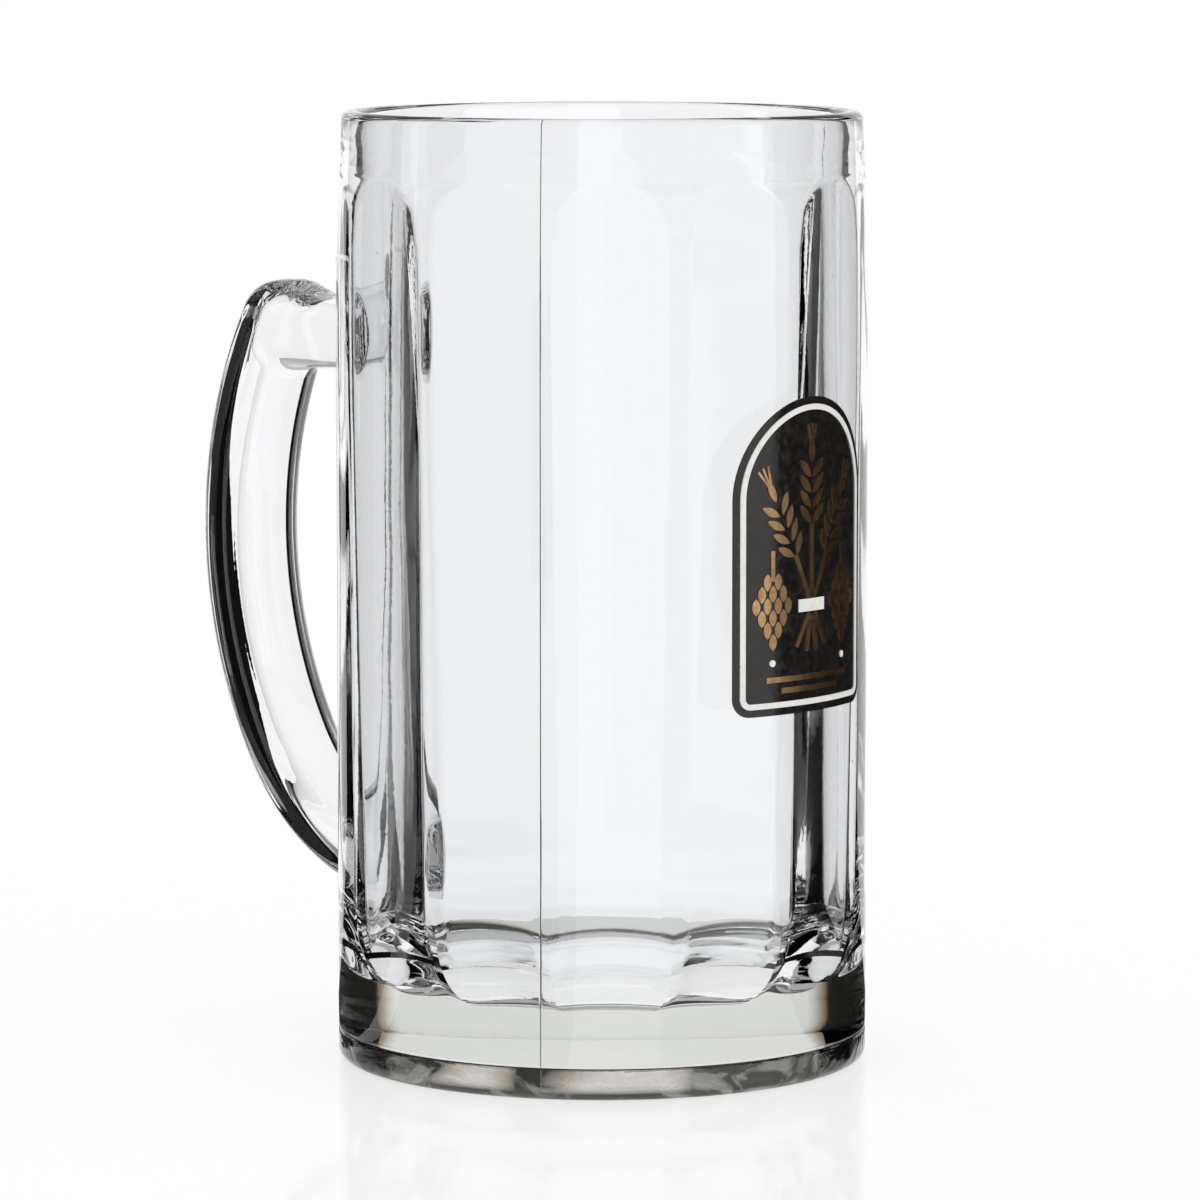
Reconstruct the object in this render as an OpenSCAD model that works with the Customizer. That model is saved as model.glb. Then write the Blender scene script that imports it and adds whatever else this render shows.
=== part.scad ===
// Half-litre beer mug of pressed clear glass, with a bow handle and a fired three-colour print.
// Millimetres, +Z up. The origin is on the axis of the body at the plane it stands on, and the
// handle points along +X.

/* [Body] */
// Outer diameter of the straight wall
body_d = 86; // [80:0.5:96]
// Height from the table to the top of the rim
body_h = 154; // [140:1:170]
// Outer diameter at the rim, a little drawn in by fire polishing
rim_d = 84; // [80:0.5:86]
// Wall thickness at the rim
rim_wall = 3.2; // [2.8:0.1:4]
// Rounding on each side of the rim
rim_round = 1.3; // [0.6:0.1:1.3]
// Height of the drawn-in zone below the rim
shoulder_h = 40; // [20:1:60]
// Rounding at the heel of the base
heel_round = 2; // [1.5:0.25:3.5]
// Diameter of the hollow under the base
hollow_d = 66; // [50:1:72]
// Depth of the hollow under the base
hollow_depth = 0.4; // [0.4:0.1:3]
// Width of the slope around the hollow
hollow_slope = 10; // [2:0.5:12]
// Height of the groove that the mould's bottom plate leaves above the heel
groove_z = 5.2; // [4.2:0.1:7]
// Height of that groove's mouth
groove_w = 0.9; // [0.4:0.1:1.2]
// Depth of that groove
groove_depth = 0.25; // [0.1:0.05:0.5]

/* [Cavity] */
// Thickness of the solid base under the cavity
base_t = 12; // [8:0.5:16]
// Radius of the round pocket between each panel and the floor
pocket_r = 15.8; // [10:0.2:18]
// Diameter of the round blank of the cavity at the floor
blank_floor_d = 71.4; // [70.4:0.1:72.4]
// Diameter of the round blank of the cavity where it is widest
blank_top_d = 79; // [77.8:0.1:81]
// Depth of the widest place below the rim
blank_top_depth = 24; // [16:1:40]
// Depth of the plain straight lip below the rim
lip_depth = 10; // [6:0.5:14]
// Number of flat panels round the cavity
panel_count = 12; // [8:1:16]
// Distance between opposite panels at the floor
panel_floor_w = 70; // [68:0.1:71]
// Distance between opposite panels where the blank is widest
panel_top_w = 76.8; // [74:0.1:78.6]

/* [Handle] */
// Thickness of the handle from its inner to its outer face
handle_t = 11.6; // [9:0.2:14]
// Width of the handle across the grip
handle_w = 16; // [12:0.5:20]
// Rounding of the edges of the handle
handle_round = 4; // [2:0.25:5]
// Clear room between the wall and the bow for the fingers
finger_gap = 33; // [26:0.5:40]
// Radius of the bow along its middle line
bow_r = 73; // [60:1:90]
// Height of the point of the bow that is farthest from the wall
bow_z = 81.8; // [76:0.1:88]
// Angle of the bow below that point
bow_low = 30.8; // [26:0.1:34]
// Radius of the bend from the bow into the lower root
foot_bend_r = 36.6; // [32:0.2:40]
// Height of the middle of the upper arm
arm_z = 115; // [108:0.5:120]
// Rise of the thumb rest above the top of the upper arm
thumb_rise = 3; // [1:0.5:5]
// Radius of the hollow in front of the thumb rest
thumb_hollow_r = 30; // [16:1:40]
// Radius of the corner inside the handle, under the upper arm
grip_corner_r = 4; // [2:0.5:8]
// Growth of each root where it meets the wall, on every side
root_flare = 2.6; // [1:0.2:4]
// Distance from the wall over which a root flares
root_reach = 5; // [3:0.5:8]

/* [Print] */
// Height of the middle of the print
print_z = 85; // [70:1:95]
// Direction of the print round the body, measured from the handle
print_turn = 183; // [150:1:210]
// Width of the print's arched field
field_w = 32; // [24:1:40]
// Height of the print's arched field
field_h = 50; // [40:1:60]
// Rounding of the lower corners of the field
field_round = 3; // [1:0.5:6]
// Thickness of each fired colour
ink_t = 0.15; // [0.1:0.05:0.3]
// Distance of the white border from the edge of the field
border_inset = 1.2; // [0.6:0.1:2]
// Width of the white border
border_w = 0.9; // [0.5:0.1:1.5]

/* [Fill line] */
// Height of the fill line
fill_z = 130; // [110:1:140]
// Length of the fill line round the body
fill_w = 12; // [6:1:30]
// Height of the stroke of the fill line
fill_stroke = 0.8; // [0.4:0.1:1.5]
// Direction of the fill line round the body, measured from the handle
fill_turn = 45; // [25:1:70]

/* [Hidden] */

// Body
body_r = body_d / 2;
rim_r = rim_d / 2;
rim_inner_r = rim_r - rim_wall;
rim_round_z = body_h - rim_round;
shoulder_z = body_h - shoulder_h;
arc_steps = 8;
round_fn = 180;
cut_over = 2;

// Cavity
blank_top_z = body_h - blank_top_depth;
lip_z = body_h - lip_depth;
blank_floor_r = blank_floor_d / 2;
blank_top_r = blank_top_d / 2;
panel_step = 360 / panel_count;
panel_rise = blank_top_z - base_t;
panel_draft = atan((panel_top_w - panel_floor_w) / 2 / panel_rise);
pocket_bite = 0.05;

// Handle
handle_half_t = handle_t / 2;
handle_half_w = handle_w / 2;
corner_steps = 5;
bow_reach = body_r + finger_gap + handle_half_t;
bow_x = bow_reach - bow_r;
bow_inner_r = bow_r - handle_half_t;
bow_outer_r = bow_r + handle_half_t;
arm_low_z = arm_z - handle_half_t;
arm_top_z = arm_z + handle_half_t;
thumb_z = arm_z + thumb_rise;
thumb_angle = asin((thumb_z - bow_z) / bow_r);
thumb_x = bow_x + bow_r * cos(thumb_angle);
hollow_z = arm_top_z + thumb_hollow_r;
hollow_x = thumb_x - sqrt(pow(thumb_hollow_r + handle_half_t, 2) - pow(hollow_z - thumb_z, 2));
hollow_angle = atan2(hollow_z - thumb_z, hollow_x - thumb_x);
grip_corner_z = arm_low_z - grip_corner_r;
grip_corner_x = bow_x + sqrt(pow(bow_inner_r - grip_corner_r, 2) - pow(grip_corner_z - bow_z, 2));
grip_angle = atan2(grip_corner_z - bow_z, grip_corner_x - bow_x);
foot_x = bow_x + (bow_r - foot_bend_r) * cos(bow_low);
foot_z = bow_z - (bow_r - foot_bend_r) * sin(bow_low);
root_depth = 8;
root_steps = 5;
hollow_steps = 5;
thumb_steps = 10;
bow_steps = 14;
foot_steps = 12;

// Print
grain_len = 3.8;
grain_w = 1.3;
grain_pitch = 2.4;
grain_lean = 40;
grain_out = 0.7;
ear_lean = 26;
ear_pairs = 4;
middle_stalk = 13;
side_stalk = 9;
awn_len = 4.2;
awn_w = 0.4;
awn_lean = 14;
stalk_w = 0.8;
straw_leans = [-30, -10, 10, 30];
straw_start = 1.4;
straw_len = 6;
tie_y = -8;
tie_w = 6.4;
tie_h = 2;
hop_x = 8.8;
hop_y = -2.5;
hop_rows = [2, 3, 4, 3, 2, 1];
hop_pitch = 1.9;
hop_stem = 2.4;
bract_len = 2.7;
bract_w = 1.5;
bract_gap = 0.65;
dot_d = 1.1;
dot_y = -16.7;
rule_w = [20, 14];
rule_h = 0.9;
rule_up = 3.4;
rule_pitch = 1.8;

// Radius of the outside of the wall at a height, which draws in smoothly above the shoulder
function wall_r(z) =
    let (u = max((z - shoulder_z) / (rim_round_z - shoulder_z), 0))
    body_r - (body_r - rim_r) * u * u;

// Value on the way from one number to another
function between(a, b, u) = a + (b - a) * u;

// Point at an angle on a circle round a centre, in a plane through the axis
function on_circle(cx, cz, r, a) = [cx + r * cos(a), cz + r * sin(a)];

// Points of an arc round a centre, from one angle to another
function arc(cx, cz, r, from, to) =
    [for (i = [0 : arc_steps]) on_circle(cx, cz, r, between(from, to, i / arc_steps))];

// The mug without its cavity
module outer_form() {
    heel = arc(body_r - heel_round, heel_round, heel_round, -90, 0);
    groove = [[body_r, groove_z - groove_w / 2], [body_r - groove_depth, groove_z],
        [body_r, groove_z + groove_w / 2]];
    shoulder = [for (i = [0 : arc_steps])
        let (z = shoulder_z + (rim_round_z - shoulder_z) * i / arc_steps) [wall_r(z), z]];
    rim = arc(rim_r - rim_round, rim_round_z, rim_round, 0, 90);
    rotate_extrude($fn = round_fn)
        polygon(concat(
            [[0, hollow_depth], [hollow_d / 2 - hollow_slope, hollow_depth], [hollow_d / 2, 0]],
            heel, groove, shoulder, [for (i = [1 : arc_steps]) rim[i]], [[0, body_h]]));
}

// The round blank of the cavity: a tapering bore, necked in below the lip
module cavity_blank() {
    mouth = arc(rim_inner_r + rim_round, rim_round_z, rim_round, 180, 90);
    rotate_extrude($fn = round_fn)
        polygon(concat(
            [[0, base_t], [blank_floor_r, base_t], [blank_top_r, blank_top_z], [rim_inner_r, lip_z]],
            mouth, [[rim_inner_r + rim_round, body_h + cut_over], [0, body_h + cut_over]]));
}

// Everything outside one flat panel of the cavity and the round pocket under it. The pocket's round
// bites a little into the panel and into the floor, so that it meets each of them in a clean line.
module panel_stop(turn) {
    stop_w = body_r;
    stop_t = rim_r / 2;
    pocket_x = pocket_bite - pocket_r * (1 - sin(panel_draft)) / cos(panel_draft);
    pocket_z = pocket_r - pocket_bite;
    rotate([0, 0, turn])
        translate([panel_floor_w / 2, 0, base_t]) {
            rotate([0, panel_draft, 0])
                translate([0, -stop_w / 2, -base_t])
                    cube([stop_t, stop_w, lip_z]);
            difference() {
                translate([pocket_x, -stop_w / 2, -cut_over])
                    cube([stop_t, stop_w, pocket_z + cut_over]);
                translate([pocket_x, stop_w / 2 + cut_over, pocket_z])
                    rotate([90, 0, 0])
                        cylinder(r = pocket_r, h = stop_w + 2 * cut_over, $fn = round_fn);
            }
        }
}

// The cavity: the round blank, cut flat by the panels, whose edges lie on the mould seams
module cavity() {
    difference() {
        cavity_blank();
        for (i = [0 : panel_count - 1]) panel_stop((i + 0.5) * panel_step);
    }
}

module glass_body() {
    color("lightcyan", 0.4)
        difference() {
            outer_form();
            cavity();
        }
}

// Points of a section of the handle, with its thickness along x and its width along y
function section(half_t, half_w) =
    [for (side = [[1, 1, 0], [-1, 1, 90], [-1, -1, 180], [1, -1, 270]], i = [0 : corner_steps])
        let (a = side[2] + 90 * i / corner_steps)
        [side[0] * (half_t - handle_round) + handle_round * cos(a),
            side[1] * (half_w - handle_round) + handle_round * sin(a)]];

// A ring of points of the handle, given the places of its inner and outer edge and its growth all round
function ring(inner, outer, grow) =
    let (thick = norm(outer - inner), half_t = thick / 2)
    let (middle = (inner + outer) / 2, across = (outer - inner) / thick)
    [for (p = section(half_t + grow, handle_half_w + grow))
        [middle[0] + across[0] * p[0], p[1], middle[1] + across[1] * p[0]]];

// Growth of a root at a distance from the axis, which sweeps out into the wall as a fillet does
function flare(x) =
    let (u = min(max((x - body_r) / root_reach, 0), 1))
    root_flare * (1 - sqrt(1 - pow(1 - u, 2)));

// Rings of the level upper arm, from inside the wall through the flare of its root
function arm_rings() =
    let (reaches = [for (i = [0 : root_steps]) root_reach * pow(i / root_steps, 2)])
    [for (reach = concat([-root_depth], reaches))
        let (x = body_r + reach)
        ring([x, arm_low_z], [x, arm_top_z], flare(x))];

// Rings under the hollow in front of the thumb rest
function hollow_rings() =
    [for (i = [0 : hollow_steps])
        let (u = i / hollow_steps)
        ring([between(hollow_x, grip_corner_x, u), arm_low_z],
            on_circle(hollow_x, hollow_z, thumb_hollow_r, between(-90, hollow_angle - 180, u)), 0)];

// Rings of the thumb rest, which fan round the corner inside the handle
function thumb_rings() =
    [for (i = [1 : thumb_steps])
        let (u = i / thumb_steps)
        ring(on_circle(grip_corner_x, grip_corner_z, grip_corner_r, between(90, grip_angle, u)),
            on_circle(thumb_x, thumb_z, handle_half_t, between(hollow_angle, thumb_angle, u)), 0)];

// Rings of the bow
function bow_rings() =
    [for (i = [1 : bow_steps])
        let (u = i / bow_steps)
        ring(on_circle(bow_x, bow_z, bow_inner_r, between(grip_angle, -bow_low, u)),
            on_circle(bow_x, bow_z, bow_outer_r, between(thumb_angle, -bow_low, u)), 0)];

// Rings of the bend into the lower root, closer together where it flares, and one inside the wall
function foot_rings() =
    let (low_z = foot_z - foot_bend_r, end_x = body_r - root_depth)
    concat(
        [for (i = [1 : foot_steps])
            let (a = between(-bow_low, -90, sin(90 * i / foot_steps)))
            ring(on_circle(foot_x, foot_z, foot_bend_r - handle_half_t, a),
                on_circle(foot_x, foot_z, foot_bend_r + handle_half_t, a),
                flare(foot_x + foot_bend_r * cos(a)))],
        [ring([end_x, low_z + handle_half_t], [end_x, low_z - handle_half_t], root_flare)]);

// A solid skin over a row of rings with the same number of points
module loft(rings) {
    count = len(rings);
    n = len(rings[0]);
    polyhedron(
        points = [for (row = rings, p = row) p],
        faces = concat(
            [[for (j = [0 : n - 1]) n - 1 - j]],
            [[for (j = [0 : n - 1]) (count - 1) * n + j]],
            [for (i = [0 : count - 2], j = [0 : n - 1])
                let (a = i * n + j, b = i * n + (j + 1) % n)
                each [[a, b, b + n], [a, b + n, a + n]]]),
        convexity = 6);
}

module handle() {
    color("lightcyan", 0.4)
        difference() {
            loft(concat(arm_rings(), hollow_rings(), thumb_rings(), bow_rings(), foot_rings()));
            outer_form();
        }
}

// A pointed leaf, standing upright on its lower tip
module leaf(length, width) {
    r = (length * length + width * width) / (4 * width);
    translate([0, length / 2])
        intersection() {
            translate([r - width / 2, 0]) circle(r = r, $fn = 96);
            translate([width / 2 - r, 0]) circle(r = r, $fn = 96);
        }
}

// The arched field of the print, drawn in from its edge by an inset
module field(inset = 0) {
    half_w = field_w / 2 - inset;
    low = -field_h / 2 + inset;
    high = field_h / 2 - field_w / 2;
    r = max(field_round - inset, 0.5);
    translate([0, high]) circle(r = half_w, $fn = 128);
    translate([-half_w, low + r]) square([2 * half_w, high - low - r]);
    translate([r - half_w, low]) square([2 * (half_w - r), r]);
    for (side = [-1, 1]) translate([side * (half_w - r), low + r]) circle(r = r, $fn = 32);
}

// An upright stroke of a given width, standing on its lower end
module stroke(width, length) {
    translate([-width / 2, 0]) square([width, length]);
}

// An ear of barley: a stalk, pairs of grains and three awns
module ear(stalk) {
    tip = stalk + ear_pairs * grain_pitch;
    stroke(stalk_w, stalk);
    for (i = [0 : ear_pairs - 1], side = [-1, 1])
        translate([side * grain_out / 2, stalk + i * grain_pitch])
            rotate(-side * grain_lean)
                leaf(grain_len, grain_w);
    translate([0, tip]) leaf(grain_len, grain_w);
    for (side = [-1, 0, 1])
        translate([0, tip + grain_len / 2])
            rotate(side * awn_lean)
                stroke(awn_w, awn_len);
}

// A small hop cone of bracts in staggered rows, hanging from a short stem
module hop() {
    for (i = [0 : len(hop_rows) - 1], k = [0 : hop_rows[i] - 1])
        translate([(k - (hop_rows[i] - 1) / 2) * (bract_w + bract_gap), -i * hop_pitch])
            rotate(180)
                leaf(bract_len, bract_w);
    translate([0, -hop_stem / 2]) stroke(stalk_w, 2 * hop_stem);
}

// The tie of the sheaf
module tie() {
    translate([0, tie_y]) square([tie_w, tie_h], center = true);
}

// What is printed in gold: a sheaf of three ears, two hop cones and two rules
module gold_design() {
    translate([0, tie_y]) {
        ear(middle_stalk);
        for (side = [-1, 1]) rotate(-side * ear_lean) ear(side_stalk);
        for (lean = straw_leans)
            rotate(180 + lean)
                translate([0, straw_start])
                    stroke(stalk_w, straw_len);
    }
    for (side = [-1, 1]) translate([side * hop_x, hop_y]) hop();
    for (k = [0, 1])
        translate([-rule_w[k] / 2, rule_up + rule_pitch * (1 - k) - field_h / 2])
            square([rule_w[k], rule_h]);
}

// What is printed in white: a border inside the edge, the tie of the sheaf and two dots
module white_design() {
    difference() {
        field(border_inset);
        field(border_inset + border_w);
    }
    tie();
    for (side = [-1, 1]) translate([side * hop_x, dot_y]) circle(d = dot_d, $fn = 32);
}

// A fired layer on the round wall, from one radius to another, in the outline of its children
module fired_layer(from_r, to_r) {
    intersection() {
        translate([0, 0, print_z - field_h])
            difference() {
                cylinder(r = to_r, h = 2 * field_h, $fn = round_fn);
                translate([0, 0, -cut_over])
                    cylinder(r = from_r, h = 2 * (field_h + cut_over), $fn = round_fn);
            }
        rotate([0, 0, print_turn])
            translate([body_r / 2, 0, print_z])
                rotate([90, 0, 90])
                    linear_extrude(body_r)
                        children();
    }
}

module print_black() {
    color("black") fired_layer(body_r, body_r + ink_t) field();
}

module print_gold() {
    color("goldenrod")
        fired_layer(body_r + ink_t, body_r + 2 * ink_t)
            difference() {
                gold_design();
                tie();
            }
}

module print_white() {
    color("white") fired_layer(body_r + ink_t, body_r + 2 * ink_t) white_design();
}

module fill_line() {
    fill_angle = fill_w / body_r * 180 / PI;
    color("white")
        difference() {
            rotate([0, 0, fill_turn - fill_angle / 2])
                rotate_extrude(angle = fill_angle, $fn = round_fn)
                    translate([rim_r - cut_over, fill_z - fill_stroke / 2])
                        square([wall_r(fill_z) + ink_t - rim_r + cut_over, fill_stroke]);
            outer_form();
        }
}

glass_body();
handle();
print_black();
print_gold();
print_white();
fill_line();
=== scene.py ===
# Half-litre beer mug of pressed clear glass with a bow handle and a fired print, on a pale studio floor.
import math

import bmesh
import bpy
import numpy as np
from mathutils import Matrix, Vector
from mathutils.geometry import area_tri, delaunay_2d_cdt


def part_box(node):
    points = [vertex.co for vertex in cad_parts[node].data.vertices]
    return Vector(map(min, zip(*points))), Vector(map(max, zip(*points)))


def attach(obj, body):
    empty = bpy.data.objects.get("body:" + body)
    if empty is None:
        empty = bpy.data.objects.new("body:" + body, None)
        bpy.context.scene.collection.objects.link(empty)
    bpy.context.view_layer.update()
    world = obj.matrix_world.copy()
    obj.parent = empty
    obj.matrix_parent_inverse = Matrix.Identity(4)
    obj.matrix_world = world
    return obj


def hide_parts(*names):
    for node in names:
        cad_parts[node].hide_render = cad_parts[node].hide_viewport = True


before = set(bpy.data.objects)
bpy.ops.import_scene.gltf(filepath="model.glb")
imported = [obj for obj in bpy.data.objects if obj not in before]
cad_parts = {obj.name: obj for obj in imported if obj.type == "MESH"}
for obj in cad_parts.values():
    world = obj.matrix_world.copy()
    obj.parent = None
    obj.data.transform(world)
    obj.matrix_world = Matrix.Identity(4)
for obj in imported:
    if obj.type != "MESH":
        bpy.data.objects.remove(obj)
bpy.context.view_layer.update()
scene = bpy.context.scene

# Drinking vessel
# Soda-lime glass pressed in a three-part mould: the outside is round and smooth, and the plunger leaves
# twelve drafted flats inside, which run out in arches under the rim and in round pockets at the floor.
# Rim and walls are fire polished; the heel, below the parting line of the bottom plate, stays rough.
mm = 0.001
vessel_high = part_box("glass_body")[1]
vessel_h = vessel_high.z
wall_r = round(vessel_high.y, 3)
rim_r = wall_r - 1 * mm
rim_wall = 3.2 * mm
rim_round = 1.3 * mm
rim_z = vessel_h - rim_round
shoulder_z = vessel_h - 40 * mm
heel_r = 2 * mm
hollow_r = 33 * mm
hollow_depth = 0.4 * mm
hollow_slope = 10 * mm
groove_z = 5.2 * mm
groove_w = 0.45 * mm
groove_depth = 0.25 * mm
groove_steepness = 2.5
groove_reach = 1.4 * groove_w
seam_turns = (math.radians(120), math.radians(240))
seam_w = 0.09 * mm
seam_h = 0.12 * mm
seam_fade = 4 * mm
seam_top_z = rim_z + 0.9 * rim_round

base_t = 12 * mm
panel_count = 12
panel_turn = 2 * math.pi / panel_count
panel_floor_r = 35 * mm
panel_top_r = 38.4 * mm
panel_top_z = vessel_h - 24 * mm
bore_floor_r = 35.7 * mm
bore_top_r = 39.5 * mm
lip_r = rim_r - rim_wall
crease = 0.05 * mm
panel_draft = (panel_top_r - panel_floor_r) / (panel_top_z - base_t)
bore_draft = (bore_top_r - bore_floor_r) / (panel_top_z - base_t)
arch_r = math.sqrt(bore_top_r**2 - panel_top_r**2)
arch_crown_z = base_t + (lip_r - panel_floor_r) / panel_draft
arch_z = arch_crown_z - arch_r
pocket_r = 15.8 * mm
pocket_drop = 2 * mm


def outer_radius(z):
    """Radius of the smooth outside of the wall, which draws in towards the rim."""
    rise = np.clip((z - shoulder_z) / (rim_z - shoulder_z), 0, None)
    return wall_r - (wall_r - rim_r) * rise**2


def soft_min(a, b):
    """The lesser of two lengths, with the crease between them rounded."""
    return np.minimum(a, b) - crease * np.log1p(np.exp(-np.abs(a - b) / crease))


def panel_radius(z):
    """Distance of the flats from the axis."""
    return panel_floor_r + panel_draft * (z - base_t)


def bore_radius(z):
    """Radius of the round bore between the flats, necked in over the arches."""
    bore = min(bore_floor_r + bore_draft * (z - base_t), bore_top_r)
    if z <= arch_z:
        return bore
    rise = min(z - arch_z, arch_r)
    return max(soft_min(math.sqrt(panel_radius(z) ** 2 + arch_r**2 - rise**2), bore), lip_r)


# Angles round the vessel, closer together at the edges of the flats and at the seams
half_panel = np.linspace(0, 1, 20) ** 2.2 * panel_turn / 2
one_panel = np.concatenate([-half_panel[-2:0:-1], half_panel])
turns = np.concatenate([one_panel + k * panel_turn for k in range(panel_count)])
turn_count = len(turns)
panel_phase = np.tile(panel_turn / 2 - np.abs(one_panel), panel_count)
seam_ridge = np.zeros(turn_count)
on_seam = np.zeros(turn_count, bool)
for seam in seam_turns:
    seam_ridge += seam_h * np.exp(-((turns - seam) * wall_r / seam_w) ** 2)
    between_columns = (turns + np.roll(turns, -1)) / 2 - seam
    on_seam |= np.abs(between_columns) * wall_r < seam_w

# Finishes of the vessel's skin, in the order in which their glasses are given to the mesh
clear_finish, base_finish, seam_finish, weld_finish = range(4)
rows = []
finishes = []


def add_row(r, z, finish=clear_finish):
    """A ring of the vessel's skin, and the finish of the faces that lead up to it."""
    rows.append(np.stack([r * np.cos(turns), r * np.sin(turns), z + 0 * turns], 1))
    finishes.append(finish)


def steps(first, last, count):
    """Values at even steps from one to another, without the first."""
    return np.linspace(first, last, count + 1)[1:]


def between(a, b, u):
    """Value on the way from one to another."""
    return a + (b - a) * u


# Underside, with the shallow hollow that leaves a flat foot, and the round of the heel
for r in np.linspace(0.2, 1, 4) * (hollow_r - hollow_slope):
    add_row(r, hollow_depth)
for u in steps(0, 1, 7):
    add_row(hollow_r - hollow_slope * (1 - u), hollow_depth * (1 - u * u * (3 - 2 * u)))
for r in steps(hollow_r, wall_r - heel_r, 3):
    add_row(r, 0)
for a in steps(-math.pi / 2, 0, 10):
    heel_ridge = seam_ridge * math.cos(a)
    add_row(wall_r - heel_r * (1 - math.cos(a)) + heel_ridge, heel_r * (1 + math.sin(a)), base_finish)

# Outside wall, with rings closer together at the parting line and where the handle's roots join it
low_root_z = 14 * mm
low_root_top_z = 42 * mm
high_root_z = 104 * mm
high_root_top_z = 126 * mm
wall_zs = np.concatenate([
    steps(heel_r, groove_z - groove_reach, 3),
    steps(groove_z - groove_reach, groove_z + groove_reach, 14),
    steps(groove_z + groove_reach, low_root_z, 4),
    steps(low_root_z, low_root_top_z, 26),
    steps(low_root_top_z, high_root_z, 6),
    steps(high_root_z, high_root_top_z, 20),
    steps(high_root_top_z, rim_z, 8),
])
for z in wall_zs:
    groove = groove_depth * math.exp(-(((z - groove_z) / groove_w) ** 2) * groove_steepness)
    ridge = seam_ridge * min((rim_z - z) / seam_fade, 1)
    add_row(outer_radius(z) - groove + ridge, z, base_finish if z < base_t else clear_finish)

# Rim, then the flats and their arches
for a in steps(0, math.pi, 16):
    add_row(rim_r - rim_wall / 2 * (1 - math.cos(a)), rim_z + rim_round * math.sin(a))
arch_margin = 1.5 * mm
plain_low_z = 32 * mm
cavity_zs = np.concatenate([
    steps(rim_z, arch_crown_z + arch_margin, 3),
    steps(arch_crown_z + arch_margin, arch_z - arch_margin, 34),
    steps(arch_z - arch_margin, plain_low_z, 6),
])
for z in cavity_zs:
    add_row(soft_min(panel_radius(z) / np.cos(panel_phase), bore_radius(z)), z)

# Pockets, in which the flats turn into the floor
pocket_round = pocket_r - pocket_drop * (panel_phase / (panel_turn / 2)) ** 2
pocket_z = base_t + pocket_round


def pocket_radius(z, depth):
    """Radius of the cavity at the height of each angle, drawn in from the flats by a depth."""
    flat = (panel_radius(z) - depth) / np.cos(panel_phase)
    return soft_min(flat, bore_floor_r + bore_draft * (z - base_t) - depth)


for u in steps(0, 1, 4):
    z = between(plain_low_z, pocket_z, u)
    add_row(pocket_radius(z, 0), z)
for a in steps(0, math.pi / 2, 40):
    z = pocket_z - pocket_round * math.sin(a)
    floor_r = pocket_radius(z, pocket_round * (1 - math.cos(a)))
    add_row(floor_r, z)
for u in (0.75, 0.5, 0.25):
    add_row(u * floor_r, base_t)

faces = []
face_finishes = []
for i in range(len(rows) - 1):
    for j in range(turn_count):
        a = i * turn_count + j
        b = i * turn_count + (j + 1) % turn_count
        faces.append((a, b, b + turn_count, a + turn_count))
    row_finishes = np.full(turn_count, finishes[i + 1])
    x, y, z = rows[i][0]
    if 0 < z < seam_top_z and math.hypot(x, y) > rim_r - rim_round:
        row_finishes[on_seam] = seam_finish
    face_finishes += row_finishes.tolist()
under_middle = len(rows) * turn_count
floor_middle = under_middle + 1
last_row = under_middle - turn_count
for j in range(turn_count):
    k = (j + 1) % turn_count
    faces.append((k, j, under_middle))
    faces.append((last_row + j, last_row + k, floor_middle))
face_finishes += [clear_finish] * (2 * turn_count)
points = np.concatenate(rows + [np.array([[0, 0, hollow_depth], [0, 0, base_t]])])
vessel_mesh = bpy.data.meshes.new("vessel")
vessel_mesh.from_pydata(points.tolist(), [], faces)
vessel_mesh.polygons.foreach_set("material_index", face_finishes)


def make_material(name):
    """A new material, its node tree and its Principled shader."""
    material = bpy.data.materials.new(name)
    material.use_nodes = True
    return material, material.node_tree, material.node_tree.nodes["Principled BSDF"]


def set_values(node, **values):
    """Sets inputs of a node, whose names are given with underscores for spaces."""
    for name, value in values.items():
        node.inputs[name.replace("_", " ")].default_value = value


def add_node(tree, kind, operation=None, **values):
    """A shader node with the values of its inputs."""
    node = tree.nodes.new("ShaderNode" + kind)
    if operation:
        node.operation = operation
    set_values(node, **values)
    return node


def wire(tree, given, socket):
    """Sets a socket to a value, or links it to the output of another node."""
    if isinstance(given, bpy.types.NodeSocket):
        tree.links.new(given, socket)
    else:
        socket.default_value = given


def add_math(tree, operation, *given):
    """Result of a sum on values or on outputs of other nodes."""
    node = add_node(tree, "Math", operation)
    for value, socket in zip(given, node.inputs):
        wire(tree, value, socket)
    return node.outputs["Value"]


def add_range(tree, value, first, last, at_first, at_last):
    """Result that slides from one value to another while a measure goes from first to last."""
    slide = add_node(tree, "MapRange", From_Min=first, From_Max=last, To_Min=at_first, To_Max=at_last)
    wire(tree, value, slide.inputs["Value"])
    return slide.outputs["Result"]


def add_texture(tree, kind, place, **values):
    """Main output of a texture that is laid out by a place on the piece."""
    texture = add_node(tree, "Tex" + kind, **values)
    wire(tree, place, texture.inputs["Vector"])
    return texture.outputs[0]


def make_group(name, inputs, outputs):
    """A node group with sockets for numbers (float) and colours, and its two end nodes."""
    group = bpy.data.node_groups.new(name, "ShaderNodeTree")
    for label, kind in inputs:
        group.interface.new_socket(label, in_out="INPUT", socket_type="NodeSocket" + kind)
    for label, kind in outputs:
        group.interface.new_socket(label, in_out="OUTPUT", socket_type="NodeSocket" + kind)
    return group, group.nodes.new("NodeGroupInput"), group.nodes.new("NodeGroupOutput")


def use_group(tree, group, **values):
    """A node that stands for a group in a material, with the values of its inputs."""
    node = tree.nodes.new("ShaderNodeGroup")
    node.node_tree = group
    set_values(node, **values)
    return node


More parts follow.
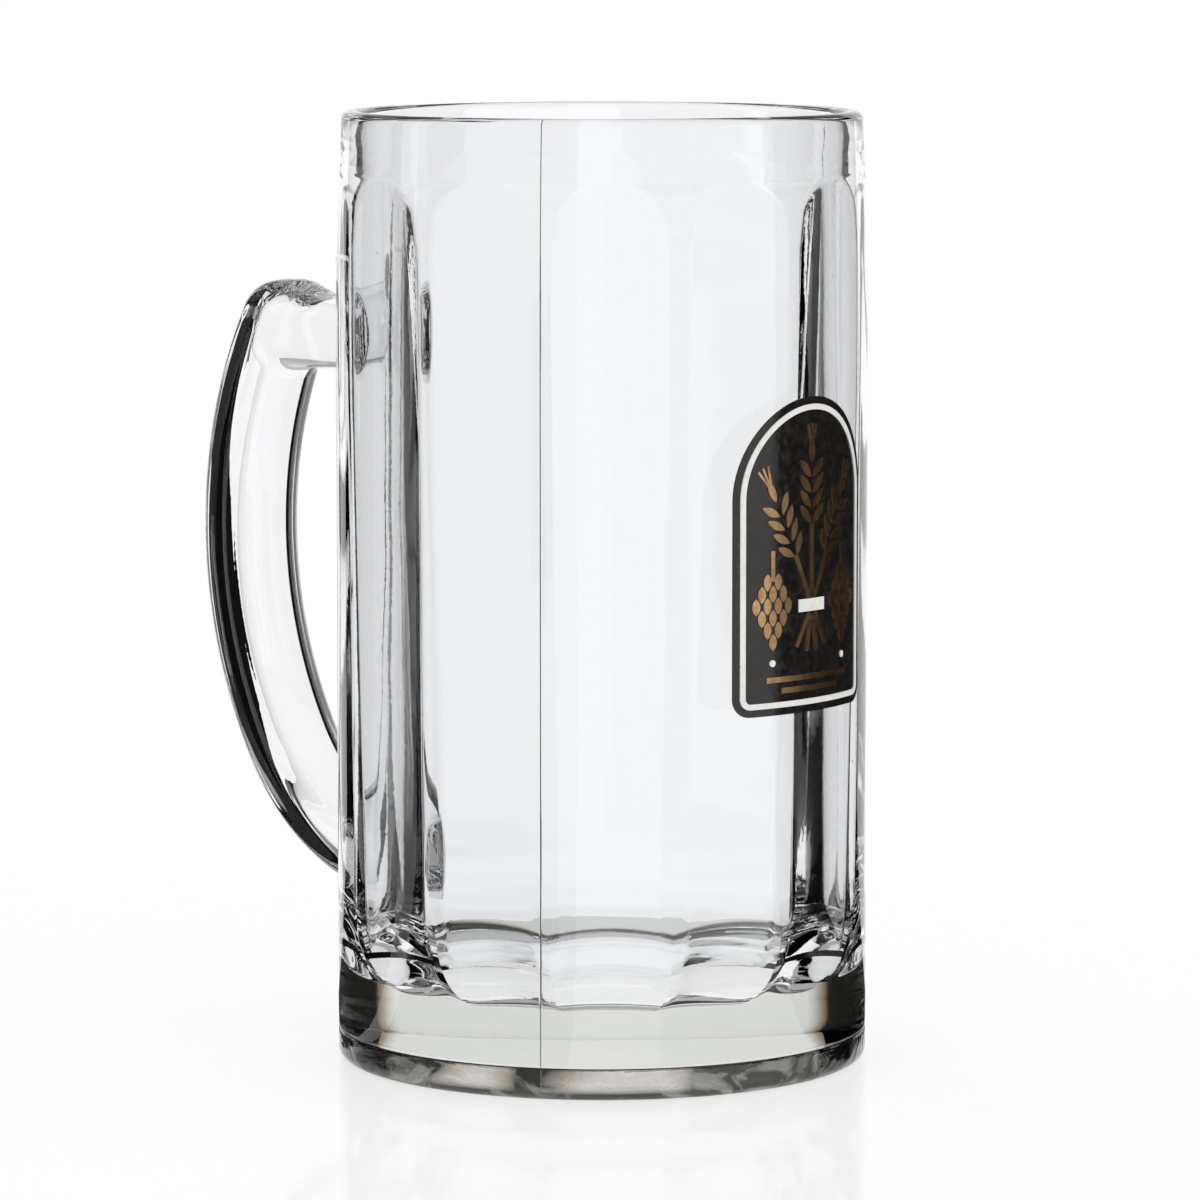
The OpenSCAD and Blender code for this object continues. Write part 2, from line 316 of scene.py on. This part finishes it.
# Skin of pressed glass: the slow ripple of the mould, a fine grain and a few seeds, as a height in metres
skin_ripple = 0.06 * mm
skin_grain = 0.002 * mm
seed_h = 0.05 * mm
pressed_skin, group_in, group_out = make_group("pressed_skin", [("Ripple", "Float")], [("Height", "Float")])
place = add_node(pressed_skin, "TexCoord").outputs["Object"]
slow = add_texture(pressed_skin, "Noise", place, Scale=60, Detail=1)
fine = add_texture(pressed_skin, "Noise", place, Scale=1500, Detail=2)
cells = add_texture(pressed_skin, "Voronoi", place, Scale=95)
seeds = add_range(pressed_skin, cells, 0, 0.03, seed_h, 0)
seeds.node.interpolation_type = "SMOOTHSTEP"
height = add_math(pressed_skin, "MULTIPLY_ADD", fine, skin_grain, seeds)
height = add_math(pressed_skin, "MULTIPLY_ADD", slow, group_in.outputs["Ripple"], height)
wire(pressed_skin, height, group_out.inputs["Height"])


def add_bump(tree, height, relief=1):
    """Normal of a skin with a share of the relief of a height in metres."""
    bump = add_node(tree, "Bump", Distance=relief, Strength=1)
    wire(tree, height, bump.inputs["Height"])
    return bump.outputs["Normal"]


def mix_shaders(tree, factor, first, second):
    """Result of mixing two shaders by a value or by the output of another node."""
    mix = add_node(tree, "MixShader")
    for given, socket in zip((factor, first, second), mix.inputs):
        wire(tree, given, socket)
    return mix.outputs["Shader"]


def set_surface(tree, surface):
    """Makes a shader the surface of a material."""
    wire(tree, surface, tree.nodes["Material Output"].inputs["Surface"])


def pass_light(tree, shader, colour):
    """Lets the light of the floor and its shadows through a glass."""
    light_path = add_node(tree, "LightPath")
    see_through = add_node(tree, "BsdfTransparent", Color=colour)
    surface = shader.outputs["BSDF"]
    for ray in ("Is Diffuse Ray", "Is Shadow Ray"):
        surface = mix_shaders(tree, light_path.outputs[ray], surface, see_through.outputs["BSDF"])
    set_surface(tree, surface)


glass_ior = 1.52
glass_tint = (0.965, 0.972, 0.982, 1)
clear_shadow = (0.98, 0.985, 0.985, 1)


def press_glass(name, colour, roughness, relief):
    """Glass with a share of the relief of the pressed skin."""
    material, tree, shader = make_material(name)
    set_values(shader, Base_Color=colour, Roughness=roughness, IOR=glass_ior, Transmission_Weight=1)
    skin = use_group(tree, pressed_skin, Ripple=skin_ripple)
    wire(tree, add_bump(tree, skin.outputs["Height"], relief), shader.inputs["Normal"])
    pass_light(tree, shader, clear_shadow)
    return material


vessel_mesh.materials.append(press_glass("clear_glass", glass_tint, 0, 1))


def add_mix(tree, kind, factor, first, second, blend="MIX"):
    """Result of mixing two colours or vectors, each a value or the output of another node."""
    mix = add_node(tree, "Mix")
    mix.data_type = kind
    mix.blend_type = blend
    first_socket, second_socket, result = {"VECTOR": (4, 5, 1), "RGBA": (6, 7, 2)}[kind]
    wire(tree, factor, mix.inputs[0])
    wire(tree, first, mix.inputs[first_socket])
    wire(tree, second, mix.inputs[second_socket])
    return mix.outputs[result]


def add_ramp(tree, along, *stops):
    """Colour at a place along stops, each a place and a colour."""
    ramp = add_node(tree, "ValToRGB")
    elements = ramp.color_ramp.elements
    while len(elements) < len(stops):
        elements.new(1)
    for element, (position, colour) in zip(elements, stops):
        element.position = position
        element.color = (*colour, 1)
    wire(tree, along, ramp.inputs["Fac"])
    return ramp.outputs["Color"]


def lay_out(tree, place, **values):
    """A place that is shifted, turned or stretched."""
    mapping = add_node(tree, "Mapping", **values)
    wire(tree, place, mapping.inputs["Vector"])
    return mapping.outputs["Vector"]


# Glass of the thick base. Outside it is clear above the parting line. Below it, it is chilled and crackled,
# with a near-black tint that paints the shade of the floor seen through the heel. The tint is lightened in
# patches that paint a reflected highlight, and the groove of the parting line is painted black as shade.
# From within it passes light like an upright wall, a little tinted, and less at a slant, where its colour
# darkens as painted shade for the dark flags seen through the base's ends.
heel_roughness = 0.03
crackle_h = 0.5 * mm
# Near-black to dim tint of the heel: painted shade of the floor seen through it, not a colour of the glass
heel_shade_stops = (0.50, (0.003, 0.003, 0.002)), (0.80, (0.22, 0.22, 0.18))
patch_low_z = 1.2 * mm
patch_full_z = 2.6 * mm
patch_shift = (0, 0, 22 * mm)
patch_turn = (0, 0, math.radians(-40))
# Pale patches in the heel's tint: painted highlight, standing in for a reflection on the heel
highlight_patch_stops = (0.62, (0, 0, 0)), (0.66, (0.34, 0.28, 0.23)), (0.71, (0.62, 0.57, 0.56))
parting_z = groove_z - 0.06 * mm
parting_half_w = 0.1 * mm
# Black in the groove of the parting line: painted shade in the crease
parting_painted_shade = (0.002, 0.002, 0.002, 1)
# Colour of the base seen from within, pale when upright and near black at a slant, with a brown band
# between: painted shade standing in for the dark flags seen through the base's ends
painted_slant_shade = (0.0003, 0.0003, 0.0002)
slant_shade_stops = (0.145, (0.53, 0.55, 0.50)), (0.165, (0.12, 0.08, 0.04)), (0.176, painted_slant_shade)
base_shadow = (0.8, 0.8, 0.78, 1)

base_glass, tree, shader = make_material("base_glass")
set_values(shader, IOR=glass_ior, Transmission_Weight=1)
place = add_node(tree, "TexCoord").outputs["Object"]
split = add_node(tree, "SeparateXYZ")
wire(tree, place, split.inputs["Vector"])
height = split.outputs["Z"]
heel_share = add_math(tree, "LESS_THAN", height, groove_z)
wire(tree, add_math(tree, "MULTIPLY", heel_share, heel_roughness), shader.inputs["Roughness"])

crackle_place = lay_out(tree, place, Scale=(1, 1, 2.2))
crackle = add_texture(tree, "Noise", crackle_place, Scale=110, Detail=6, Distortion=1.2)
patch_place = lay_out(tree, place, Location=patch_shift, Rotation=patch_turn)
patches = add_texture(tree, "Noise", patch_place, Scale=38, Detail=2)
patch_share = add_range(tree, height, patch_low_z, patch_full_z, 0, 1)
# The heel's colour: painted shade by the crackle noise, lightened by the painted highlight patches
painted_heel_shade = add_ramp(tree, crackle, *heel_shade_stops)
painted_highlight_patches = add_ramp(tree, patches, *highlight_patch_stops)
heel_painted_light = add_mix(tree, "RGBA", patch_share, painted_heel_shade, painted_highlight_patches, "LIGHTEN")
outside = add_mix(tree, "RGBA", heel_share, glass_tint, heel_painted_light)
# Paints the groove of the parting line black, as shade
in_groove = add_math(tree, "COMPARE", height, parting_z, parting_half_w)
outside = add_mix(tree, "RGBA", in_groove, outside, parting_painted_shade)

side = add_node(tree, "NewGeometry")
backface = side.outputs["Backfacing"]
inward = add_node(tree, "VectorMath", "MULTIPLY")
wire(tree, side.outputs["Position"], inward.inputs[0])
wire(tree, (-1, -1, 0), inward.inputs[1])
upright = add_node(tree, "VectorMath", "NORMALIZE")
wire(tree, inward.outputs["Vector"], upright.inputs[0])
slant = add_node(tree, "LayerWeight", Blend=0.5)
wire(tree, upright.outputs["Vector"], slant.inputs["Normal"])
# From within, the colour darkens with the slant: painted shade
inside = add_ramp(tree, slant.outputs["Facing"], *slant_shade_stops)
wire(tree, add_mix(tree, "RGBA", backface, outside, inside), shader.inputs["Base Color"])

skin = use_group(tree, pressed_skin, Ripple=skin_ripple)
heel_crackle = add_math(tree, "MULTIPLY", crackle, heel_share)
base_height = add_math(tree, "MULTIPLY_ADD", heel_crackle, crackle_h, skin.outputs["Height"])
normal = add_mix(tree, "VECTOR", backface, add_bump(tree, base_height), upright.outputs["Vector"])
wire(tree, normal, shader.inputs["Normal"])
pass_light(tree, shader, base_shadow)
vessel_mesh.materials.append(base_glass)

# Mould seams, fine ridges that throw the light aside. Their glass is tinted near black, which paints them
# as dark lines of shade
seam_painted_shade = (0.02, 0.02, 0.02, 1)
seam_roughness = 0.1
vessel_mesh.materials.append(press_glass("seam_glass", seam_painted_shade, seam_roughness, 1))


def add_piece(name, mesh, node):
    """Shades a mesh smooth and sets it in the frame in the place of a CAD node."""
    mesh.polygons.foreach_set("use_smooth", [True] * len(mesh.polygons))
    mesh.set_sharp_from_angle(angle=math.radians(100))
    piece = bpy.data.objects.new(name, mesh)
    scene.collection.objects.link(piece)
    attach(piece, "root")
    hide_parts(node)


add_piece("mug_vessel", vessel_mesh, "glass_body")

# Bow handle
# The same glass, pressed with a bow for the fingers and a raised rest for the thumb. Its roots sweep out
# into the wall and are one with it: their outlines are set into the vessel's skin, and the faces inside
# the outlines bend no light.
handle_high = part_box("handle")[1]
handle_half_t = 5.8 * mm
handle_half_w = 8 * mm
section_power = 3
root_power = 2
bow_r = 73 * mm
bow_x = handle_high.x - handle_half_t - bow_r
bow_z = 81.8 * mm
bow_low = math.radians(30.8)
foot_bend_r = 36.6 * mm
arm_z = 115 * mm
thumb_rise = 3 * mm
thumb_hollow_r = 30 * mm
grip_corner_r = 4 * mm
root_flare = 2.6 * mm
root_reach = 5 * mm

bow_inner_r = bow_r - handle_half_t
bow_outer_r = bow_r + handle_half_t
arm_low_z = arm_z - handle_half_t
arm_top_z = arm_z + handle_half_t
thumb_z = arm_z + thumb_rise
thumb_angle = math.asin((thumb_z - bow_z) / bow_r)
thumb_x = bow_x + bow_r * math.cos(thumb_angle)
thumb_hollow_z = arm_top_z + thumb_hollow_r
thumb_hollow_rise = thumb_hollow_z - thumb_z
thumb_hollow_x = thumb_x - math.sqrt((thumb_hollow_r + handle_half_t) ** 2 - thumb_hollow_rise**2)
thumb_hollow_angle = math.atan2(thumb_hollow_rise, thumb_hollow_x - thumb_x)
grip_corner_z = arm_low_z - grip_corner_r
grip_corner_x = bow_x + math.sqrt((bow_inner_r - grip_corner_r) ** 2 - (grip_corner_z - bow_z) ** 2)
grip_angle = math.atan2(grip_corner_z - bow_z, grip_corner_x - bow_x)
foot_x = bow_x + (bow_r - foot_bend_r) * math.cos(bow_low)
foot_z = bow_z - (bow_r - foot_bend_r) * math.sin(bow_low)

section_turns = np.linspace(0, 2 * math.pi, 97)[:-1]


def section_side(side, power):
    """Half breadths of a rounded section from the cosine or sine of its angles."""
    return np.sign(side) * np.abs(side) ** (2 / power)


def on_circle(x, z, r, a):
    """Point at an angle on a circle in the plane of the handle."""
    return np.array([x + r * math.cos(a), z + r * math.sin(a)])


def handle_ring(inner, outer, grow=0.0, power=section_power):
    """A ring of the handle between a place on its inner edge and one on its outer edge."""
    thick = np.linalg.norm(outer - inner)
    middle = (inner + outer) / 2
    across = (outer - inner) / thick
    t = section_side(np.cos(section_turns), power) * (thick / 2 + grow)
    w = section_side(np.sin(section_turns), power) * (handle_half_w + grow)
    return np.stack([middle[0] + across[0] * t, w, middle[1] + across[1] * t], 1)


def root_ring(inner, outer, u):
    """A ring of a root, an oval on the wall at 0 and plain at 1."""
    grow = root_flare * (1 - math.sqrt(max(1 - (1 - u) ** 2, 0)))
    ring = handle_ring(inner, outer, grow, between(root_power, section_power, u))
    on_wall = np.sqrt(outer_radius(ring[:, 2]) ** 2 - ring[:, 1] ** 2)
    ring[:, 0] = between(on_wall, ring[:, 0], u)
    return ring


def arm_edges(x):
    """Inner and outer edge of the upper arm at a distance from the axis."""
    return np.array([x, arm_low_z]), np.array([x, arm_top_z])


def foot_angle(u):
    """Angle on the lower bend at a share of the root's reach."""
    return math.asin((wall_r + root_reach * u - foot_x) / foot_bend_r) - math.pi / 2


def foot_edges(a):
    """Inner and outer edge of the lower bend at an angle."""
    inner = on_circle(foot_x, foot_z, foot_bend_r - handle_half_t, a)
    return inner, on_circle(foot_x, foot_z, foot_bend_r + handle_half_t, a)


# Rings from the upper root over the thumb rest and down the bow to the lower root
root_shares = np.linspace(0, 1, 14) ** 2
handle_rings = [root_ring(*arm_edges(wall_r + root_reach * u), u) for u in root_shares]
for x in steps(wall_r + root_reach, thumb_hollow_x, 5):
    handle_rings.append(handle_ring(*arm_edges(x)))
for u in steps(0, 1, 11):
    a = between(-math.pi / 2, thumb_hollow_angle - math.pi, u)
    inner = np.array([between(thumb_hollow_x, grip_corner_x, u), arm_low_z])
    handle_rings.append(handle_ring(inner, on_circle(thumb_hollow_x, thumb_hollow_z, thumb_hollow_r, a)))
for u in steps(0, 1, 29):
    a = between(math.pi / 2, grip_angle, u)
    inner = on_circle(grip_corner_x, grip_corner_z, grip_corner_r, a)
    a = between(thumb_hollow_angle, thumb_angle, u)
    handle_rings.append(handle_ring(inner, on_circle(thumb_x, thumb_z, handle_half_t, a)))
for u in steps(0, 1, 49):
    inner = on_circle(bow_x, bow_z, bow_inner_r, between(grip_angle, -bow_low, u))
    outer = on_circle(bow_x, bow_z, bow_outer_r, between(thumb_angle, -bow_low, u))
    handle_rings.append(handle_ring(inner, outer))
for u in steps(0, 1, 25)[:-1]:
    handle_rings.append(handle_ring(*foot_edges(between(-bow_low, foot_angle(1), u))))
for u in root_shares[::-1]:
    handle_rings.append(root_ring(*foot_edges(foot_angle(u)), u))


def inside_outline(x, y, outline):
    """Whether a place lies within a closed outline."""
    inside = False
    for (x0, y0), (x1, y1) in zip(outline, np.roll(outline, -1, 0)):
        if (y0 > y) != (y1 > y) and x < x0 + (x1 - x0) * (y - y0) / (y1 - y0):
            inside = not inside
    return inside


def unroll(point):
    """Place on the wall, as the way round it from the handle and the height."""
    return (math.atan2(point[1], point[0]) * wall_r, point[2])


patch_margin = 1.6 * mm
skin_depth = 0.3 * mm
outline_gap = 0.45 * mm
same_place = 1e-9
least_face = (0.01 * mm) ** 2


def weld_root(ring):
    """Sets the outline of a root into the vessel's skin, and gives the corners of the faces inside it."""
    outline = np.array([unroll(point) for point in ring])
    low = outline.min(0) - patch_margin
    high = outline.max(0) + patch_margin
    skin = bmesh.new()
    skin.from_mesh(vessel_mesh)
    patch = []
    for face in skin.faces:
        middle = face.calc_center_median()
        along, z = unroll(middle)
        on_wall = math.hypot(middle.x, middle.y) > wall_r - skin_depth
        if on_wall and low[0] < along < high[0] and low[1] < z < high[1]:
            face.tag = True
            patch.append(face)
    corners = {corner for face in patch for corner in face.verts}
    border = []
    within = []
    for corner in sorted(corners, key=lambda corner: corner.index):
        if not all(face.tag for face in corner.link_faces):
            border.append(corner)
        elif np.hypot(*(outline - unroll(corner.co)).T).min() > outline_gap:
            within.append(corner.co.copy())
    bmesh.ops.delete(skin, geom=patch, context="FACES")
    corners = border + [skin.verts.new(point) for point in [*within, *ring]]
    first = len(border) + len(within)
    edges = [(first + k, first + (k + 1) % len(ring)) for k in range(len(ring))]
    flat_corners = [Vector(unroll(corner.co)) for corner in corners]
    places, _, triangles, sources, _, _ = delaunay_2d_cdt(flat_corners, edges, [], 0, same_place)
    weld = []
    for triangle in triangles:
        if area_tri(*[places[k] for k in triangle]) < least_face:
            continue
        face = skin.faces.new([corners[sources[k][0]] for k in triangle])
        face.smooth = True
        along, z = np.mean([places[k] for k in triangle], 0)
        if inside_outline(along, z, outline):
            face.material_index = weld_finish
            weld.append([tuple(corner.co) for corner in face.verts])
    skin.to_mesh(vessel_mesh)
    skin.free()
    return weld


bow_weld_finish = 1
join_gap = 0.001 * mm
bow = bmesh.new()
loops = [[bow.verts.new(point) for point in ring] for ring in handle_rings]
for here, there in zip(loops, loops[1:]):
    for j in range(len(section_turns)):
        bow.faces.new((here[j - 1], there[j - 1], there[j], here[j]))
for corners in weld_root(handle_rings[0]) + weld_root(handle_rings[-1]):
    face = bow.faces.new([bow.verts.new(point) for point in reversed(corners)])
    face.material_index = bow_weld_finish
bmesh.ops.remove_doubles(bow, verts=bow.verts, dist=join_gap)
handle_mesh = bpy.data.meshes.new("handle")
bow.to_mesh(handle_mesh)
bow.free()

handle_relief = 0.15
weld_glass, tree, shader = make_material("weld_glass")
set_values(shader, Base_Color=(1, 1, 1, 1), Roughness=0, IOR=1, Transmission_Weight=1)
vessel_mesh.materials.append(weld_glass)
handle_mesh.materials.append(press_glass("handle_glass", glass_tint, 0, handle_relief))
handle_mesh.materials.append(weld_glass)
add_piece("mug_handle", handle_mesh, "handle")

# Black field of the print
# Black glass enamel, screened on the wall opposite the handle and fired on. It carries the other colours.
# Every fired colour has thin spots and pinholes, which are duller and lie a little deeper.
pit_depth = 0.01 * mm
pit_dulling = 0.2
fired_colour, group_in, group_out = make_group(
    "fired_colour",
    [("Colour", "Color"), ("Thin Colour", "Color"), ("Gloss", "Float"), ("Grain", "Float")],
    [("Colour", "Color"), ("Roughness", "Float"), ("Height", "Float")],
)
place = add_node(fired_colour, "TexCoord").outputs["Object"]
coat = add_texture(fired_colour, "Noise", place, Scale=700, Detail=3)
speck = add_texture(fired_colour, "Noise", place, Scale=5000, Detail=1)
pinholes = add_texture(fired_colour, "Voronoi", place, Scale=520)
pits = add_range(fired_colour, pinholes, 0.03, 0.12, 1, 0)
thin = add_range(fired_colour, coat, 0.42, 0.75, 0, 0.8)
thin = add_math(fired_colour, "MAXIMUM", pits, thin)
given = group_in.outputs
grain = add_math(fired_colour, "MULTIPLY", speck, given["Grain"])
results = {
    "Colour": add_mix(fired_colour, "RGBA", thin, given["Colour"], given["Thin Colour"]),
    "Roughness": add_math(fired_colour, "MULTIPLY_ADD", thin, pit_dulling, given["Gloss"]),
    "Height": add_math(fired_colour, "MULTIPLY_ADD", thin, -pit_depth, grain),
}
for label, result in results.items():
    wire(fired_colour, result, group_out.inputs[label])


def fire_on(name, nodes, colour, thin_colour, gloss, grain, metal=0):
    """Gives CAD nodes of the print a fired colour."""
    material, tree, shader = make_material(name)
    set_values(shader, Metallic=metal)
    coat = use_group(tree, fired_colour, Colour=colour, Thin_Colour=thin_colour, Gloss=gloss, Grain=grain)
    wire(tree, coat.outputs["Colour"], shader.inputs["Base Color"])
    wire(tree, coat.outputs["Roughness"], shader.inputs["Roughness"])
    wire(tree, add_bump(tree, coat.outputs["Height"]), shader.inputs["Normal"])
    for node in nodes:
        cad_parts[node].data.materials.clear()
        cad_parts[node].data.materials.append(material)


black = (0.010, 0.009, 0.008, 1)
thin_black = (0.026, 0.022, 0.018, 1)
fire_on("black_enamel", ["print_black"], black, thin_black, gloss=0.12, grain=0.001 * mm)

# Gold of the print
# Burnished gold, screened on the black enamel and fired: three ears in a sheaf, two hop cones and two
# rules. Its fired grain glints.
gold = (0.66, 0.42, 0.22, 1)
thin_gold = (0.40, 0.22, 0.10, 1)
fire_on("fired_gold", ["print_gold"], gold, thin_gold, gloss=0.3, grain=0.012 * mm, metal=1)

# White of the print and the fill line
# White glass enamel, screened on and fired: the border, the tie of the sheaf and two dots on the black
# field, and on the bare glass the short line that marks half a litre.
white = (0.86, 0.85, 0.82, 1)
thin_white = (0.70, 0.69, 0.66, 1)
fire_on("white_enamel", ["print_white", "fill_line"], white, thin_white, gloss=0.22, grain=0.002 * mm)

# Studio floor
# A plain sheet of white acrylic, lit from below as well, with a soft polish that mirrors the foot.
floor_half = 4
floor_drop = 0.02 * mm
floor_colour = (0.65, 0.65, 0.65, 1)
polish_share = 0.12
floor_corners = [(-1, -1), (1, -1), (1, 1), (-1, 1)]
floor_mesh = bpy.data.meshes.new("studio_floor")
floor_mesh.from_pydata([(x * floor_half, y * floor_half, 0) for x, y in floor_corners], [], [(0, 1, 2, 3)])
floor = bpy.data.objects.new("studio_floor", floor_mesh)
floor.location.z = -floor_drop
scene.collection.objects.link(floor)
floor_material, tree, shader = make_material("studio_floor")
set_values(shader, Base_Color=floor_colour, Roughness=0.4, Specular_IOR_Level=0)
set_values(shader, Emission_Color=(1, 1, 1, 1), Emission_Strength=0.35)
polish = add_node(tree, "BsdfGlossy", Color=(1, 1, 1, 1), Roughness=0.08)
set_surface(tree, mix_shaders(tree, polish_share, shader.outputs["BSDF"], polish.outputs["BSDF"]))
floor_mesh.materials.append(floor_material)

# Studio light
# White light from all round. Black flags stand beside the mug and a dim roof hangs over it, which only
# glass and gloss see: they draw the dark lines of clear glass. Their stand turns to face the camera.
world = bpy.data.worlds.new("studio")
world.use_nodes = True
set_values(world.node_tree.nodes["Background"], Color=(1, 1, 1, 1), Strength=1)
scene.world = world
flag_stand = bpy.data.objects.new("flag_stand", None)
scene.collection.objects.link(flag_stand)
floor_touch = 2 * mm


def card_row(r, z, angles):
    """Points round the mug, by their angles from straight behind it, right of it positive."""
    return np.stack([r * np.sin(angles), r * np.cos(angles), z + 0 * angles], 1)


def add_card(name, card_rows, shade):
    """A card of the light rig from rows of points, seen by glass and gloss, not by the floor under it."""
    count = len(card_rows[0])
    card_faces = []
    for i in range(len(card_rows) - 1):
        for j in range(count - 1):
            a = i * count + j
            card_faces.append((a, a + 1, a + count + 1, a + count))
    mesh = bpy.data.meshes.new(name)
    mesh.from_pydata(np.concatenate(card_rows).tolist(), [], card_faces)
    material, tree, shader = make_material(name)
    set_values(shader, Base_Color=(0, 0, 0, 1), Specular_IOR_Level=0)
    set_values(shader, Emission_Color=(shade, shade, shade, 1), Emission_Strength=1)
    light_path = add_node(tree, "LightPath")
    close = add_math(tree, "LESS_THAN", light_path.outputs["Ray Length"], floor_touch)
    clear = add_node(tree, "BsdfTransparent")
    set_surface(tree, mix_shaders(tree, close, shader.outputs["BSDF"], clear.outputs["BSDF"]))
    mesh.materials.append(material)
    card = bpy.data.objects.new(name, mesh)
    scene.collection.objects.link(card)
    card.parent = flag_stand
    card.visible_camera = False
    card.visible_diffuse = False
    card.visible_shadow = False


card_points = 40
flag_r = 320 * mm
flag_side = 48 * mm
flag_h = 260 * mm
flag_lift = 0.1 * mm
flags = ("flag_right", 40, 105, 0.004), ("flag_left", -40, -88, 0.004), ("flag_front", -98, -170, 0.03)
for name, first, last, shade in flags:
    angles = np.radians(np.linspace(first, last, card_points))
    near_r = flag_side / np.sin(np.minimum(np.abs(angles), math.pi / 2))
    near = card_row(near_r, flag_lift, angles)
    foot = card_row(flag_r, flag_lift, angles)
    add_card(name, [near, foot, card_row(flag_r, flag_h, angles)], shade)
roof_z = 500 * mm
roof_r = 900 * mm
roof_hole_r = 1 * mm
roof_shade = 0.42
angles = np.linspace(0, 2 * math.pi, card_points)
add_card("roof", [card_row(roof_hole_r, roof_z, angles), card_row(roof_r, roof_z, angles)], roof_shade)

# Camera
# A long lens a metre off, a little over the rim, which looks down on the mug from the side of the print.
camera_turn = math.radians(132.9)
camera_reach = 1040.8 * mm
camera_z = 190.4 * mm
aim_z = 74.6 * mm
aim_side = -0.32 * mm
camera_data = bpy.data.cameras.new("camera")
camera_data.sensor_width = 36
camera_data.lens = 193.5
camera_data.clip_start = 0.05
camera_data.clip_end = 50
camera = bpy.data.objects.new("camera", camera_data)
scene.collection.objects.link(camera)
camera.location = (camera_reach * math.cos(camera_turn), camera_reach * math.sin(camera_turn), camera_z)
aim = Vector((-aim_side * math.sin(camera_turn), aim_side * math.cos(camera_turn), aim_z))
camera.rotation_mode = "QUATERNION"
camera.rotation_quaternion = (aim - camera.location).to_track_quat("-Z", "Y")
scene.camera = camera
facing = flag_stand.constraints.new("LOCKED_TRACK")
facing.target = camera
facing.track_axis = "TRACK_NEGATIVE_Y"
facing.lock_axis = "LOCK_Z"
scene.view_settings.view_transform = "Standard"
scene.cycles.max_bounces = 24
scene.cycles.transmission_bounces = 24
scene.cycles.glossy_bounces = 12
